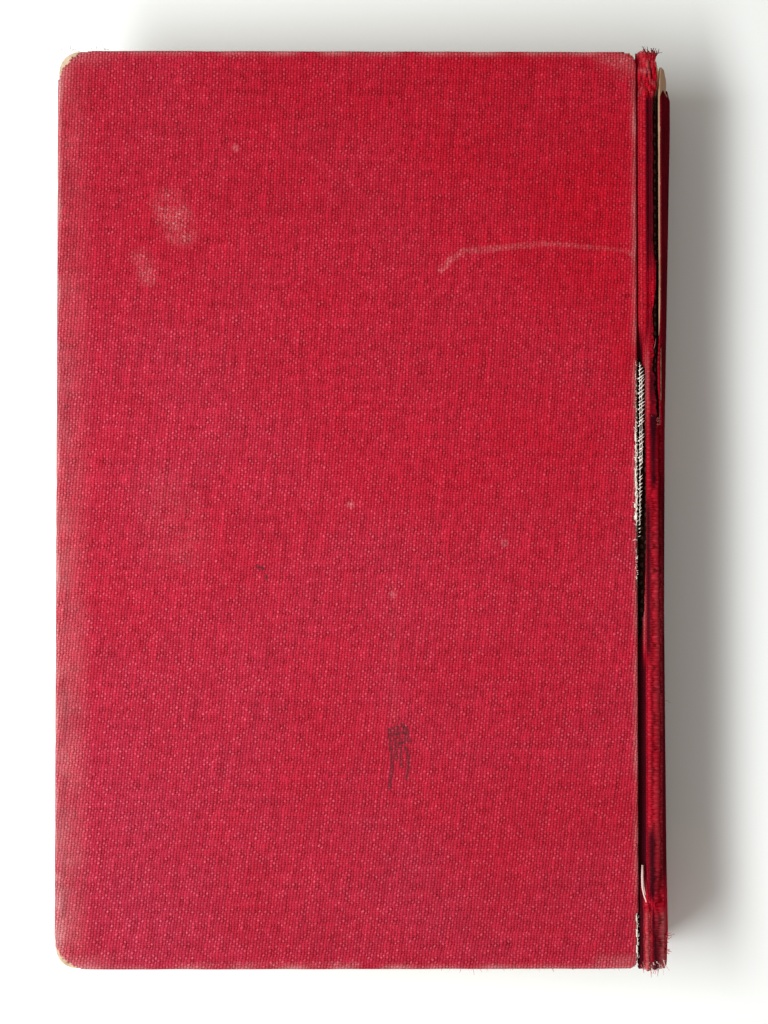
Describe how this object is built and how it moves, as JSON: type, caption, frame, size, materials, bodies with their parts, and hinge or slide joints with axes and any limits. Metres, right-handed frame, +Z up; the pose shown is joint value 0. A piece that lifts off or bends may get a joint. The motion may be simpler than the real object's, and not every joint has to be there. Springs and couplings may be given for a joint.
{
  "type": "hardback book",
  "caption": "Worn cloth-cased hardback book with rounded back, torn back joint and covers that open flat.",
  "frame": {"origin": "middle of the closed book's outline, on the surface its front cover lies on", "axes": "+X towards the spine, +Y towards the head, +Z up from the front cover to the back cover"},
  "size_m": [0.1504, 0.222, 0.032],
  "materials": {
    "cloth": "plain-weave book cloth, rubbed and faded",
    "board": "straw-brown binder's board",
    "pages": "aged uncoated paper, trimmed edges",
    "endpaper": "aged uncoated paper",
    "lining": "glued kraft paper",
    "card": "thin plain card",
    "mull": "open-weave cotton, sized",
    "thread": "linen thread"
  },
  "bodies": {
    "pages": {"text_block": "pages", "back_flyleaf": "endpaper", "front_flyleaf": "endpaper", "sewing_thread": "thread", "mull": "mull", "back_lining": "lining", "spine_card": "card", "spine_cloth": "cloth"},
    "back_cover": {"back_board": "board", "back_cloth": "cloth", "back_pastedown": "endpaper", "back_mull_wing": "mull"},
    "front_cover": {"front_board": "board", "front_cloth": "cloth", "front_pastedown": "endpaper", "front_mull_wing": "mull"}
  },
  "joints": [
    {"name": "back_cover_hinge", "type": "hinge", "parent": "pages", "child": "back_cover", "pos_m": [0.06939, 0, 0.02873], "axis": [0, 1, 0], "range_deg": [0, 180]},
    {"name": "front_cover_hinge", "type": "hinge", "parent": "pages", "child": "front_cover", "pos_m": [0.06939, 0, 0.00328], "axis": [0, -1, 0], "range_deg": [0, 180]}
  ]
}
